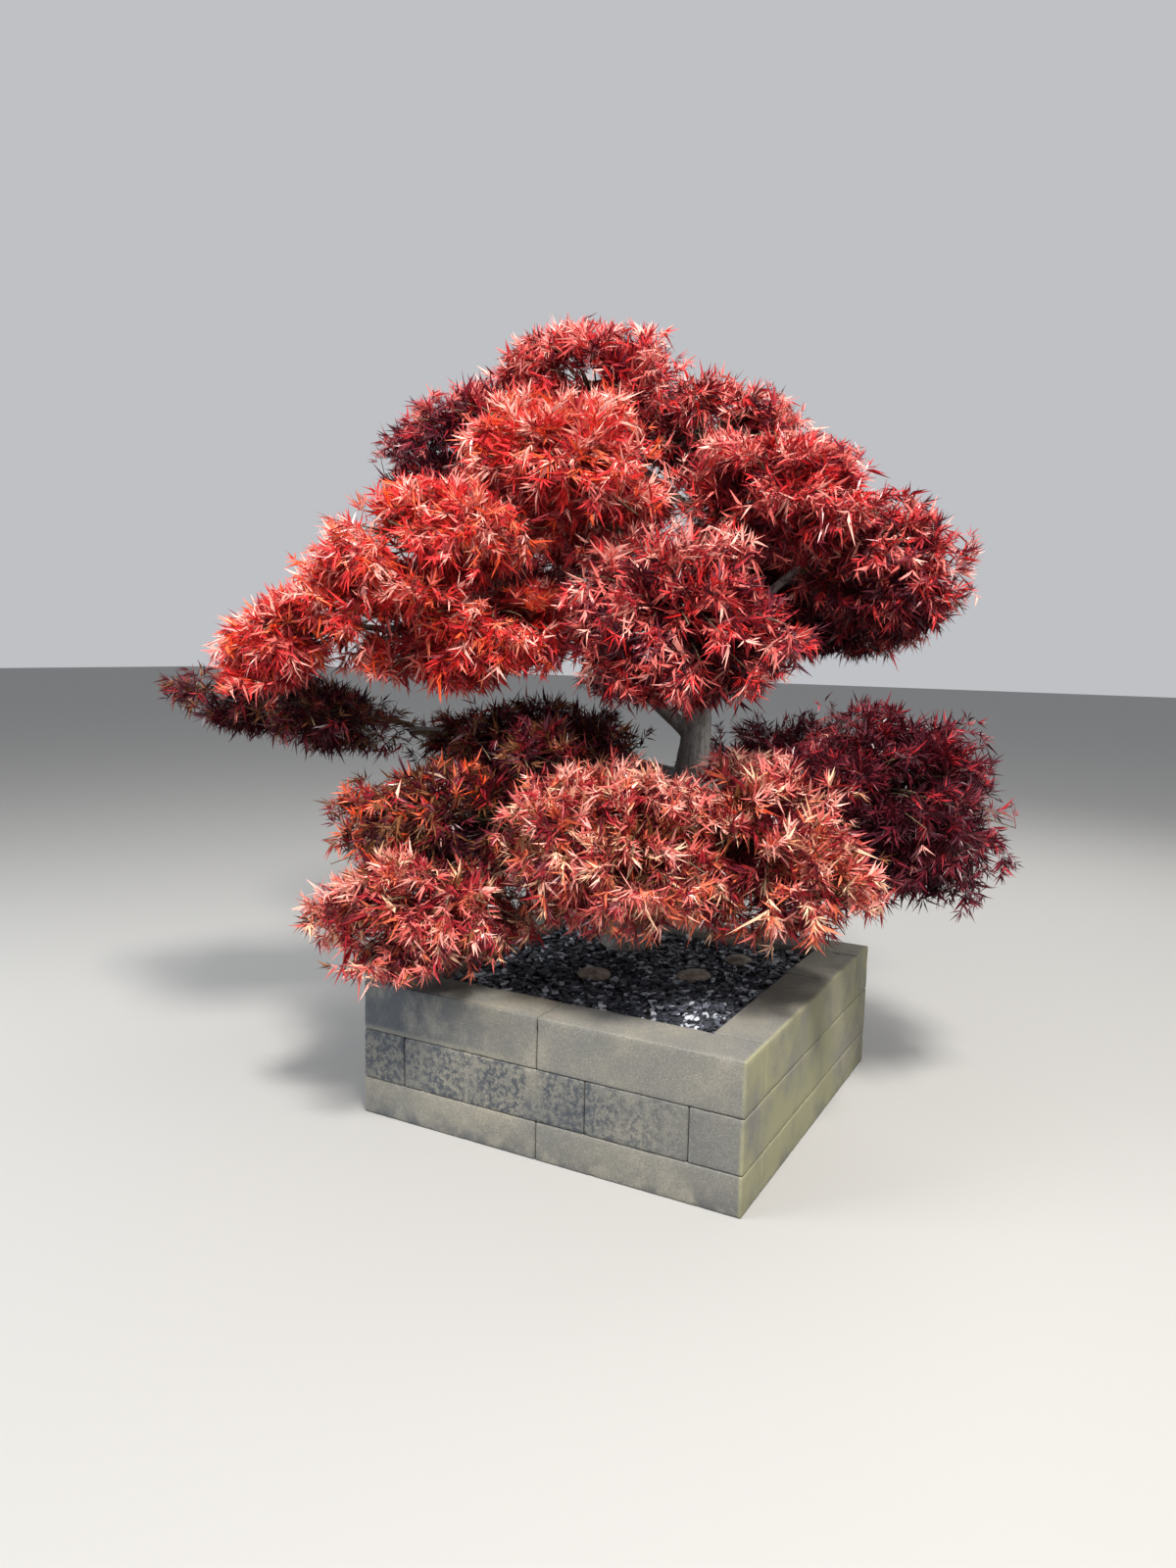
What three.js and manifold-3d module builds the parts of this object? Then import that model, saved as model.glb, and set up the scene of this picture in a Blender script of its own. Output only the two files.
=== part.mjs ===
// A cut-leaved japanese maple growing in a square planter of stacked concrete blocks.
// Millimetres, +Z up. The origin is the middle of the planter's flat underside, -Y is its front.
import * as THREE from 'three';
import { mergeVertices } from 'three/addons/utils/BufferGeometryUtils.js';
import Module from 'manifold-3d';

const wasm = await Module();
wasm.setup();

// Planter
const planterSide = 1200;
const gridThickness = 150; // a block's place in the wall, joint included
const blockThickness = 149;
const longBlock = 600;
const shortBlock = 300;
const courseHeights = [110, 148.7, 148.7]; // the lowest course is cut shallower
const bedJoint = 0.3;
const endJoint = 1.2;
const blockChamfer = 4;
const blockColor = '#a39c8a';
const soilHeight = 378;
const soilColor = '#2b2c31';
const seatGap = 0.3; // clearance wherever two solids meet
const shortestEdge = 0.05; // anything finer that a join leaves is closed up

// Trunk, from its flat foot on the soil through its lean to the tip of its leader
const trunkPoints = [
  [-145, 221, soilHeight + seatGap],
  [-125, 236, 560],
  [-12, 300, 830],
  [38, 336, 1040],
  [18, 390, 1400],
  [-38, 488, 1850],
  [-62, 514, 2010],
];
const trunkFootRadius = 60;
const trunkTipRadius = 12;
const trunkTaper = 2.2;
const rootFlare = 34; // how far the roots stand out at the soil
const flareHeight = 45;
const rootRidges = 5;
const ridgeDepth = 0.3; // share of the flare that comes and goes around the foot
const trunkSides = 10;
const trunkRings = 12;
const ringCrowding = 1.35; // the rings stand closer together at the foot
const footSnap = 12; // the lowest ring is laid flat within this height
const steepShare = 0.8; // a limb that rises by more of its length than this is steep
const barkColor = '#5d5148';

// Boughs leave the trunk, or another bough, at a share of its length and end at a tip.
const limbSides = 7;
const limbRings = 5;
const boughTipRadius = 11;
const boughTaper = 0.8;
const boughBend = 0.45; // where the bough arches, as a share of the way to its tip
const boughs = [
  { name: 'bough_top', from: 'trunk', share: 0.9, tip: [-340, 380, 2090], arch: 30, radius: 21 },
  { name: 'bough_front', from: 'trunk', share: 0.53, tip: [10, 40, 1640], arch: 40, radius: 24 },
  { name: 'bough_left', from: 'trunk', share: 0.45, tip: [-440, -68, 1567], arch: 50, radius: 27 },
  { name: 'bough_left_far', from: 'bough_left', share: 0.78, tip: [-690, -390, 1440], arch: 40, radius: 15 },
  { name: 'bough_right', from: 'trunk', share: 0.57, tip: [370, 370, 1670], arch: 60, radius: 23 },
  { name: 'bough_back_left', from: 'trunk', share: 0.62, tip: [-480, 570, 1680], arch: 60, radius: 22 },
  { name: 'bough_back_right', from: 'trunk', share: 0.49, tip: [160, 740, 1430], arch: 50, radius: 22 },
  { name: 'bough_low_left', from: 'trunk', share: 0.37, tip: [-760, -170, 1120], arch: 60, radius: 23 },
  { name: 'bough_low_front', from: 'trunk', share: 0.3, tip: [250, -10, 960], arch: 50, radius: 21 },
  { name: 'bough_low_front_left', from: 'trunk', share: 0.22, tip: [-400, -190, 800], arch: 50, radius: 20 },
  { name: 'bough_low_right', from: 'trunk', share: 0.33, tip: [430, 470, 1000], arch: 60, radius: 21 },
  { name: 'bough_low_back', from: 'trunk', share: 0.26, tip: [-450, 490, 890], arch: 60, radius: 20 },
];

// Foliage masses: the middle, the half sizes along length, width and depth, the turn of the
// length from +X and its droop outwards in degrees, and the limb whose tip carries the mass.
const masses = [
  ['top_middle', 'bough_top', [-375, 285, 2260], [480, 360, 195], -28, 0],
  ['top_left', 'bough_top', [-705, 135, 2075], [380, 330, 210], 200, 16],
  ['top_right', 'trunk', [-10, 540, 2130], [430, 355, 210], 20, 14],
  ['upper_front', 'bough_front', [-240, -160, 1920], [470, 350, 240], -28, 0],
  ['middle_front', 'bough_front', [175, -170, 1485], [490, 350, 290], -28, 2],
  ['left_high', 'bough_left', [-530, -410, 1660], [490, 350, 240], 215, 26],
  ['left_inner', 'bough_left', [-430, -290, 1430], [450, 320, 190], 215, 6],
  ['left_tip', 'bough_left_far', [-870, -560, 1432], [350, 290, 150], 215, 35],
  ['right_high', 'bough_right', [330, 270, 1860], [400, 350, 240], 20, 10],
  ['right_tip', 'bough_right', [600, 450, 1670], [320, 330, 270], 25, 18],
  ['back_high', 'bough_back_left', [-570, 700, 1900], [440, 350, 250], 140, 12],
  ['back_left', 'bough_back_left', [-870, 480, 1540], [380, 350, 230], 165, 16],
  ['back_right', 'bough_back_right', [220, 850, 1600], [450, 350, 280], 40, 12],
  ['left_shade', 'bough_low_left', [-1060, -375, 1178], [480, 330, 128], 205, -10],
  ['middle_shade', 'bough_low_left', [-400, 15, 1060], [635, 370, 190], -28, 0],
  ['front_low', 'bough_low_front', [80, -350, 850], [460, 370, 265], -28, 0],
  ['front_low_right', 'bough_low_front', [460, -140, 850], [390, 360, 280], -28, 12],
  ['front_low_left', 'bough_low_front_left', [-400, -540, 650], [400, 350, 220], 215, 8],
  ['left_low', 'bough_low_front_left', [-500, -300, 850], [430, 370, 255], 215, 8],
  ['right_low', 'bough_low_right', [685, 300, 930], [420, 400, 370], 10, 5],
  ['back_low_right', 'bough_low_right', [210, 840, 900], [440, 380, 300], 40, 12],
  ['back_low_left', 'bough_low_back', [-670, 540, 850], [470, 400, 300], 150, 10],
].map(([name, limb, middle, half, turn, droop]) => ({ name, limb, middle, half, turn, droop }));
const spaceMargin = 0.04; // share of its half size that a mass keeps from the next one
const lowestFoliage = 424; // just over the wall's top
const foliageColor = '#8e2028';

// Twigs and leaves, by the same rule in every mass. A leaf stands for a spray of real ones.
const stemRadii = [9, 7];
const stemSpread = 9; // two stems on one tip start this far from its middle
const stemReach = 1.2; // the stem runs on past its mass's middle
const stemArch = 0.08; // share of the stem's length
const stemLeafPlace = 0.97;
const twigRadii = [4, 2.2];
const twigSides = 3;
const twigStarts = [0.6, 0.95]; // shares of the stem's length, first twig and last
const twigScatter = 0.5; // radians
const twigSpacing = 80; // one twig for each of these in a mass's mean half size
const firstSeed = 31;
const goldenTurn = Math.PI * (3 - Math.sqrt(5));
const twigRise = [0.92, -0.6]; // how high and how low the twigs aim
const riseStep = 0.7549; // their share of that from one twig to the next
const twigReach = [0.77, 0.6, 0.44]; // shares of the way to the mass's edge; the first that fits
const tipAim = [1, 0, 0]; // the first twig makes for its mass's far end, and further out
const tipReach = 0.92;
const twigArch = 25;
const leafPlaces = [ // share of the twig's length, and turn from the twig in degrees
  { share: 0.96, turn: 0 },
  { share: 0.74, turn: 62 },
  { share: 0.6, turn: -62 },
  { share: 0.42, turn: 75 },
];
const leafLength = 1.0; // share of the mass's mean half size
const leafTries = 20;
const leafShrink = 0.93; // each further try is this much smaller
const leafHang = [0.45, 1.1]; // how steeply leaves hang, between these
const leafLean = 0.35; // how far their faces turn up from their mass's surface
const leafSwing = [0.4, 0.25]; // radians of turn from the twig, first and with each further try
const leafThickness = 0.03; // shares of the leaf's length from here on
const leafDroop = 0.3;
const leafCentre = 0.3;
const leafChecks = [1, 0.75, 0.5]; // shares of the way to each corner that are tested
const leafRim = [ // root, then lobe tips and notches around the leaf
  { turn: 0, reach: 0 },
  { turn: -58, reach: 0.88 },
  { turn: -28, reach: 0.72 },
  { turn: 0, reach: 1 },
  { turn: 28, reach: 0.72 },
  { turn: 58, reach: 0.88 },
];

const up = new THREE.Vector3(0, 0, 1);
const degrees = THREE.MathUtils.degToRad;
const mix = THREE.MathUtils.lerp;
const vector = (values) => new THREE.Vector3(...values);

function seededRandom(seed) {
  let state = seed;
  return () => {
    state = (state * 1664525 + 1013904223) % 4294967296;
    return state / 4294967296;
  };
}

function toSolid(geometry) {
  const bare = geometry.clone();
  bare.deleteAttribute('normal');
  bare.deleteAttribute('uv');
  const merged = mergeVertices(bare);
  return new wasm.Manifold(new wasm.Mesh({
    numProp: 3,
    vertProperties: Float32Array.from(merged.attributes.position.array),
    triVerts: Uint32Array.from(merged.index.array),
  }));
}

function toGeometry(solid) {
  const mesh = solid.getMesh();
  const geometry = new THREE.BufferGeometry();
  geometry.setAttribute('position', new THREE.BufferAttribute(mesh.vertProperties, 3));
  geometry.setIndex(new THREE.BufferAttribute(mesh.triVerts, 1));
  geometry.computeVertexNormals();
  return geometry;
}

const joined = (solids) => solids.reduce((whole, solid) => whole.add(solid));

function largestPart(solid) {
  const parts = solid.decompose().sort((a, b) => b.volume() - a.volume());
  return parts[0];
}

function namedMesh(name, geometry, color, roughness) {
  const material = new THREE.MeshStandardMaterial({ color, roughness, metalness: 0 });
  const mesh = new THREE.Mesh(geometry, material);
  mesh.name = name;
  return mesh;
}

// The planter

function blockGeometry(length, height) {
  const half = blockThickness / 2;
  const section = new THREE.Shape();
  section.moveTo(-half + blockChamfer, 0);
  section.lineTo(half - blockChamfer, 0);
  section.lineTo(half, blockChamfer);
  section.lineTo(half, height - blockChamfer);
  section.lineTo(half - blockChamfer, height);
  section.lineTo(-half + blockChamfer, height);
  section.lineTo(-half, height - blockChamfer);
  section.lineTo(-half, blockChamfer);
  section.closePath();
  const depth = length - endJoint;
  const geometry = new THREE.ExtrudeGeometry(section, { depth, bevelEnabled: false });
  geometry.translate(0, 0, -depth / 2);
  const along = new THREE.Vector3(1, 0, 0);
  const across = new THREE.Vector3(0, 1, 0);
  return geometry.applyMatrix4(new THREE.Matrix4().makeBasis(across, up, along));
}

// In each course one pair of walls runs through the corners and the other stands between.
function courseGroup(level) {
  const course = new THREE.Group();
  const below = courseHeights.slice(0, level).reduce((sum, height) => sum + height + bedJoint, 0);
  const wallMiddle = planterSide / 2 - gridThickness / 2;
  ['front', 'right', 'back', 'left'].forEach((wall, side) => {
    const through = side % 2 === level % 2;
    const turned = new THREE.Group();
    turned.rotation.z = side * Math.PI / 2;
    let start = (through ? 0 : gridThickness) - planterSide / 2;
    [longBlock, through ? longBlock : shortBlock].forEach((length, index) => {
      const geometry = blockGeometry(length, courseHeights[level]);
      const name = `block_${wall}_${level + 1}_${index + 1}`;
      const block = namedMesh(name, geometry, blockColor, 0.95);
      block.position.set(start + length / 2, -wallMiddle, below);
      turned.add(block);
      start += length;
    });
    course.add(turned);
  });
  return course;
}

function soilMesh() {
  const inner = planterSide - gridThickness - blockThickness - 2 * seatGap;
  const soil = new THREE.BoxGeometry(inner, inner, soilHeight);
  soil.translate(0, 0, soilHeight / 2);
  return namedMesh('soil_fill', soil, soilColor, 0.9);
}

// Trunk and boughs: a cylinder or cone whose own y axis is bent along a curve

function bendAlong(geometry, curve, radiusAt, spread = 1) {
  const rings = geometry.parameters.heightSegments;
  const chord = curve.getPoint(1).sub(curve.getPoint(0));
  const guide = Math.abs(chord.z) > steepShare * chord.length() ? vector([1, 0, 0]) : up;
  const place = geometry.attributes.position;
  for (let i = 0; i < place.count; i += 1) {
    const share = (Math.round((place.getY(i) + 0.5) * rings) / rings) ** spread;
    const tangent = curve.getTangentAt(share);
    const side = guide.clone().cross(tangent).normalize();
    const other = side.clone().cross(tangent);
    const x = place.getX(i);
    const z = place.getZ(i);
    const radius = radiusAt(share, Math.atan2(z, x));
    const point = curve.getPointAt(share);
    point.addScaledVector(side, x * radius).addScaledVector(other, z * radius);
    place.setXYZ(i, point.x, point.y, point.z);
  }
  return geometry;
}

function trunkSolid(curve, extra) {
  const blank = new THREE.CylinderGeometry(1, 1, 1, trunkSides, trunkRings);
  const height = curve.getLength();
  const geometry = bendAlong(blank, curve, (share, angle) => {
    const plain = mix(trunkFootRadius, trunkTipRadius, share ** trunkTaper);
    const flare = rootFlare * Math.exp(-share * height / flareHeight);
    const ridge = 1 - ridgeDepth + ridgeDepth * Math.cos(rootRidges * angle);
    return plain + flare * ridge + extra;
  }, ringCrowding);
  const place = geometry.attributes.position;
  const foot = trunkPoints[0][2];
  for (let i = 0; i < place.count; i += 1) {
    if (place.getZ(i) < foot + footSnap) place.setZ(i, foot);
  }
  return toSolid(geometry);
}

function boughSolid(bough, extra) {
  const blank = new THREE.CylinderGeometry(1, 1, 1, limbSides, limbRings);
  const taper = (share) => mix(bough.radius, boughTipRadius, share ** boughTaper) + extra;
  return toSolid(bendAlong(blank, bough.curve, taper));
}

function lengthened(limb) {
  const longer = limb.curve.clone();
  longer.v2.addScaledVector(limb.curve.getTangent(1), seatGap);
  return { ...limb, curve: longer };
}

function trunkCurve(extra) {
  const points = trunkPoints.map(vector);
  points[points.length - 1].addScaledVector(up, extra);
  return new THREE.CatmullRomCurve3(points, false, 'centripetal');
}

function growLimbs() {
  const trunk = { name: 'trunk', curve: trunkCurve(0) };
  trunk.solid = trunkSolid(trunk.curve, 0);
  trunk.fat = trunkSolid(trunkCurve(seatGap), seatGap);
  const limbs = { trunk };
  let grown = trunk.fat;
  boughs.forEach((bough) => {
    const start = limbs[bough.from].curve.getPointAt(bough.share);
    const tip = vector(bough.tip);
    const bend = start.clone().lerp(tip, boughBend).addScaledVector(up, bough.arch);
    const limb = { ...bough, curve: new THREE.QuadraticBezierCurve3(start, bend, tip) };
    limb.solid = largestPart(boughSolid(limb, 0).subtract(grown));
    limb.fat = boughSolid(lengthened(limb), seatGap);
    grown = grown.add(limb.fat);
    limbs[bough.name] = limb;
  });
  return limbs;
}

// Foliage

function placeMass(mass) {
  const turn = degrees(mass.turn);
  const droop = degrees(mass.droop);
  const level = vector([Math.cos(turn), Math.sin(turn), 0]).multiplyScalar(Math.cos(droop));
  const length = level.addScaledVector(up, -Math.sin(droop));
  const width = vector([-Math.sin(turn), Math.cos(turn), 0]);
  const depth = length.clone().cross(width);
  const axes = [length, width, depth];
  const size = Math.sqrt(mass.half[0] * mass.half[1]);
  const twigs = Math.round(size / twigSpacing);
  return { ...mass, middle: vector(mass.middle), axes, size, twigs };
}

// 0 at a mass's middle, 1 at the edge of its space
function depthIn(mass, point) {
  const away = point.clone().sub(mass.middle);
  return Math.hypot(...mass.axes.map((axis, i) => away.dot(axis) / mass.half[i]));
}

function inOwnSpace(mass, point) {
  const own = depthIn(mass, point);
  if (own > 1 || point.z < lowestFoliage) return false;
  return placed.every((other) => other === mass || depthIn(other, point) > own + spaceMargin);
}

function edgePoint(mass, direction, share) {
  const point = mass.middle.clone();
  mass.axes.forEach((axis, i) => {
    point.addScaledVector(axis, direction.getComponent(i) * mass.half[i] * share);
  });
  return point;
}

function leafGeometry(root, along, face, length) {
  const geometry = new THREE.ConeGeometry(1, 1, leafRim.length, 1);
  const across = face.clone().cross(along).normalize();
  const normal = along.clone().cross(across);
  const place = geometry.attributes.position;
  for (let i = 0; i < place.count; i += 1) {
    const x = place.getX(i);
    const z = place.getZ(i);
    const step = Math.round(Math.atan2(x, z) / (2 * Math.PI) * leafRim.length);
    const rim = leafRim[(step + leafRim.length) % leafRim.length];
    const onRim = Math.hypot(x, z) > 0.5;
    const reach = (onRim ? rim.reach : leafCentre) * length;
    const turn = onRim ? degrees(rim.turn) : 0;
    const lift = place.getY(i) > 0 ? leafThickness * length : 0;
    const point = root.clone().addScaledVector(normal, lift - leafDroop * reach);
    point.addScaledVector(along, Math.cos(turn) * reach);
    point.addScaledVector(across, Math.sin(turn) * reach);
    place.setXYZ(i, point.x, point.y, point.z);
  }
  return geometry;
}

function leafFits(mass, geometry) {
  const place = geometry.attributes.position;
  const centre = new THREE.Vector3().fromBufferAttribute(place, 0);
  for (let i = 0; i < place.count; i += 1) {
    const corner = new THREE.Vector3().fromBufferAttribute(place, i);
    const onTheWay = leafChecks.map((share) => centre.clone().lerp(corner, share));
    if (!onTheWay.every((point) => inOwnSpace(mass, point))) return false;
  }
  return true;
}

function twigSolid(curve, radii, rings) {
  const blank = new THREE.CylinderGeometry(1, 1, 1, twigSides, rings);
  return toSolid(bendAlong(blank, curve, (share) => mix(radii[0], radii[1], share)));
}

// A leaf lies along its mass's surface, turned between its twig's heading and straight outwards.
function growLeaf(mass, root, heading, random) {
  const outward = root.clone().sub(mass.middle);
  const normal = new THREE.Vector3();
  mass.axes.forEach((axis, i) => {
    normal.addScaledVector(axis, outward.dot(axis) / mass.half[i] ** 2);
  });
  normal.normalize();
  for (let attempt = 0; attempt < leafTries; attempt += 1) {
    const spin = (random() - 0.5) * (leafSwing[0] + leafSwing[1] * attempt);
    const along = heading.clone().applyAxisAngle(up, spin).add(normal);
    along.addScaledVector(up, -mix(...leafHang, random())).normalize();
    const face = normal.clone().addScaledVector(up, leafLean);
    const length = mass.size * leafLength * leafShrink ** attempt;
    const geometry = leafGeometry(root, along, face, length);
    if (leafFits(mass, geometry)) {
      const leaf = toSolid(geometry);
      if (mass.obstacles.every((obstacle) => leaf.intersect(obstacle).isEmpty())) {
        mass.obstacles.push(leaf);
        return [leaf];
      }
    }
  }
  return [];
}

function twigFits(mass, curve) {
  const inside = curve.getPoints(6).slice(2).every((point) => inOwnSpace(mass, point));
  return inside && twigSolid(curve, twigRadii, 2).intersect(mass.obstacles[0]).isEmpty();
}

function growTwig(mass, index, random) {
  const turn = index * goldenTurn + random() * twigScatter;
  const rise = mix(...twigRise, (index * riseStep) % 1);
  const level = Math.sqrt(1 - rise * rise);
  const aim = vector(index > 0 ? [Math.cos(turn) * level, Math.sin(turn) * level, rise] : tipAim);
  const reaches = index > 0 ? twigReach : [tipReach, ...twigReach];
  const start = mass.stemCurve.getPointAt(mix(...twigStarts, index / (mass.twigs - 1)));
  const curves = reaches.map((reach) => {
    const tip = edgePoint(mass, aim, reach);
    const bend = start.clone().lerp(tip, 0.5).addScaledVector(up, twigArch);
    return new THREE.QuadraticBezierCurve3(start, bend, tip);
  });
  const curve = curves.find((each) => twigFits(mass, each));
  if (!curve) return [];
  const twig = twigSolid(curve, twigRadii, 2);
  const leaves = leafPlaces.flatMap((place) => {
    const heading = curve.getTangentAt(place.share).applyAxisAngle(up, degrees(place.turn));
    return growLeaf(mass, curve.getPointAt(place.share), heading, random);
  });
  return [twig, ...leaves];
}

// A stem starts just inside its limb's tip and is then cut clear of it.
function stemCurveFor(mass, limbs) {
  const limb = limbs[mass.limb].curve;
  const start = limb.getPoint(1).addScaledVector(limb.getTangent(1), -stemRadii[0]);
  const away = mass.middle.clone().sub(start);
  const twin = placed.find((other) => other !== mass && other.limb === mass.limb);
  if (twin) {
    const apart = mass.middle.clone().sub(twin.middle);
    apart.addScaledVector(limb.getTangent(1), -apart.dot(limb.getTangent(1)));
    start.addScaledVector(apart.normalize(), stemSpread);
  }
  const end = start.clone().addScaledVector(away, stemReach);
  const bend = start.clone().addScaledVector(away, 0.5);
  bend.addScaledVector(up, away.length() * stemArch);
  return new THREE.QuadraticBezierCurve3(start, bend, end);
}

function growMass(mass, seed, limbs) {
  const random = seededRandom(seed);
  const solids = [mass.stem];
  for (let index = 0; index < mass.twigs; index += 1) {
    solids.push(...growTwig(mass, index, random));
  }
  const lastRoot = mass.stemCurve.getPointAt(stemLeafPlace);
  solids.push(...growLeaf(mass, lastRoot, mass.stemCurve.getTangent(1), random));
  const fused = largestPart(joined(solids).subtract(limbs[mass.limb].fat));
  return toSolid(toGeometry(fused)).simplify(shortestEdge);
}

const limbs = growLimbs();
const placed = masses.map(placeMass);
placed.forEach((mass) => {
  mass.stemCurve = stemCurveFor(mass, limbs);
  mass.stem = twigSolid(mass.stemCurve, stemRadii, 2);
});
placed.forEach((mass) => {
  const others = placed.filter((other) => other !== mass).map((other) => other.stem);
  mass.obstacles = [joined([...Object.values(limbs).map((limb) => limb.fat), ...others])];
});

const planter = new THREE.Group();
courseHeights.forEach((height, level) => planter.add(courseGroup(level)));
planter.add(soilMesh());

const tree = new THREE.Group();
Object.values(limbs).forEach((limb) => {
  tree.add(namedMesh(limb.name, toGeometry(limb.solid), barkColor, 0.85));
});
placed.forEach((mass, index) => {
  const solid = growMass(mass, firstSeed + index, limbs);
  tree.add(namedMesh(`foliage_${mass.name}`, toGeometry(solid), foliageColor, 0.7));
});

const plant = new THREE.Group();
plant.add(planter, tree);
export default plant;
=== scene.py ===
import math

import bmesh
import bpy
import numpy as np
from mathutils import Matrix, Vector, noise


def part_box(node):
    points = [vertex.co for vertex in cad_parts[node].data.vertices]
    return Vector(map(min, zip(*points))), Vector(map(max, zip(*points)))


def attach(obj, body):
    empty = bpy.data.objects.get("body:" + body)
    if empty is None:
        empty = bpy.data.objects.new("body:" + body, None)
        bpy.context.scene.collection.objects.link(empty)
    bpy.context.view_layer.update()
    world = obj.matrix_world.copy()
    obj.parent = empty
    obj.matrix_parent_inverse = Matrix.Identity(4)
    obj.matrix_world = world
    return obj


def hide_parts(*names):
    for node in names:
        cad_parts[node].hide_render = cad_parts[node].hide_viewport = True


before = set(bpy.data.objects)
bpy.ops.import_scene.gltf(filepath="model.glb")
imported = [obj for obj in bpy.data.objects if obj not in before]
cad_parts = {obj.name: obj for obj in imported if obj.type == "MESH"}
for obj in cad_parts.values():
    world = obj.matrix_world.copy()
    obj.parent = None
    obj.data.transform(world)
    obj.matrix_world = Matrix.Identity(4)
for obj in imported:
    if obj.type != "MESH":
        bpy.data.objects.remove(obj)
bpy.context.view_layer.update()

upwards = np.array([0.0, 0.0, 1.0])
goldenTurn = math.pi * (3 - math.sqrt(5))
print("frame loaded:", len(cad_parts), "nodes")


# Small helpers

def unit(v):
    return v / np.maximum(np.linalg.norm(v, axis=-1, keepdims=True), 1e-9)


def mix(a, b, share):
    return a + (b - a) * share


def bezier(start, bend, end, t):
    return (1 - t) ** 2 * start + 2 * t * (1 - t) * bend + t * t * end


def curveSamples(curveAt, count=240):
    points = np.array([curveAt(t) for t in np.linspace(0, 1, count)])
    steps = np.linalg.norm(np.diff(points, axis=0), axis=1)
    lengths = np.concatenate([[0], np.cumsum(steps)])
    return {"points": points, "shares": lengths / lengths[-1], "length": lengths[-1]}


def pointAt(curve, shares):
    known, points = curve["shares"], curve["points"]
    return np.stack([np.interp(shares, known, points[:, k]) for k in range(3)], axis=-1)


def tangentAt(curve, shares, near=0.004):
    shares = np.asarray(shares, float)
    ahead, behind = np.minimum(shares + near, 1), np.maximum(shares - near, 0)
    return unit(pointAt(curve, ahead) - pointAt(curve, behind))


def bendCurve(start, bend, end):
    return curveSamples(lambda t: bezier(start, bend, end, t))


def threadCurve(points):  # a centripetal curve through the points
    points = [np.array(p, float) for p in points]
    line = [2 * points[0] - points[1], *points, 2 * points[-1] - points[-2]]

    def at(t):
        place = t * (len(points) - 1)
        i = min(int(place), len(points) - 2)
        w = place - i
        p0, p1, p2, p3 = line[i:i + 4]
        pairs = ((p0, p1), (p1, p2), (p2, p3))
        d0, d1, d2 = (math.sqrt(np.linalg.norm(b - a)) for a, b in pairs)
        m1 = ((p1 - p0) / d0 - (p2 - p0) / (d0 + d1) + (p2 - p1) / d1) * d1
        m2 = ((p2 - p1) / d1 - (p3 - p1) / (d1 + d2) + (p3 - p2) / d2) * d1
        square = 3 * (p2 - p1) - 2 * m1 - m2
        cube = 2 * (p1 - p2) + m1 + m2
        return p1 + m1 * w + square * w * w + cube * w ** 3

    return curveSamples(at)


def addPiece(name, mesh, material, nodes=()):
    piece = bpy.data.objects.new(name, mesh)
    bpy.context.scene.collection.objects.link(piece)
    mesh.materials.append(material)
    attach(piece, "root")
    if nodes:
        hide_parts(*nodes)


def boxBmesh(low, high):
    bm = bmesh.new()
    bmesh.ops.create_cube(bm, size=1)
    bmesh.ops.scale(bm, vec=high - low, verts=bm.verts)
    bmesh.ops.translate(bm, vec=(low + high) / 2, verts=bm.verts)
    return bm


def meshFromBmesh(name, bm, smooth=True):
    for face in bm.faces:
        face.smooth = smooth
    mesh = bpy.data.meshes.new(name)
    bm.to_mesh(mesh)
    bm.free()
    return mesh


def meshFromArrays(name, points, triangles, smooth=False):
    mesh = bpy.data.meshes.new(name)
    mesh.vertices.add(len(points))
    mesh.vertices.foreach_set("co", np.asarray(points, np.float32).ravel())
    mesh.loops.add(triangles.size)
    mesh.loops.foreach_set("vertex_index", triangles.astype(np.int32).ravel())
    mesh.polygons.add(len(triangles))
    mesh.polygons.foreach_set("loop_start", np.arange(0, triangles.size, 3, dtype=np.int32))
    mesh.polygons.foreach_set("use_smooth", np.full(len(triangles), smooth))
    mesh.update(calc_edges=True)
    return mesh


# Materials are node chains on Object coordinates.

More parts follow.
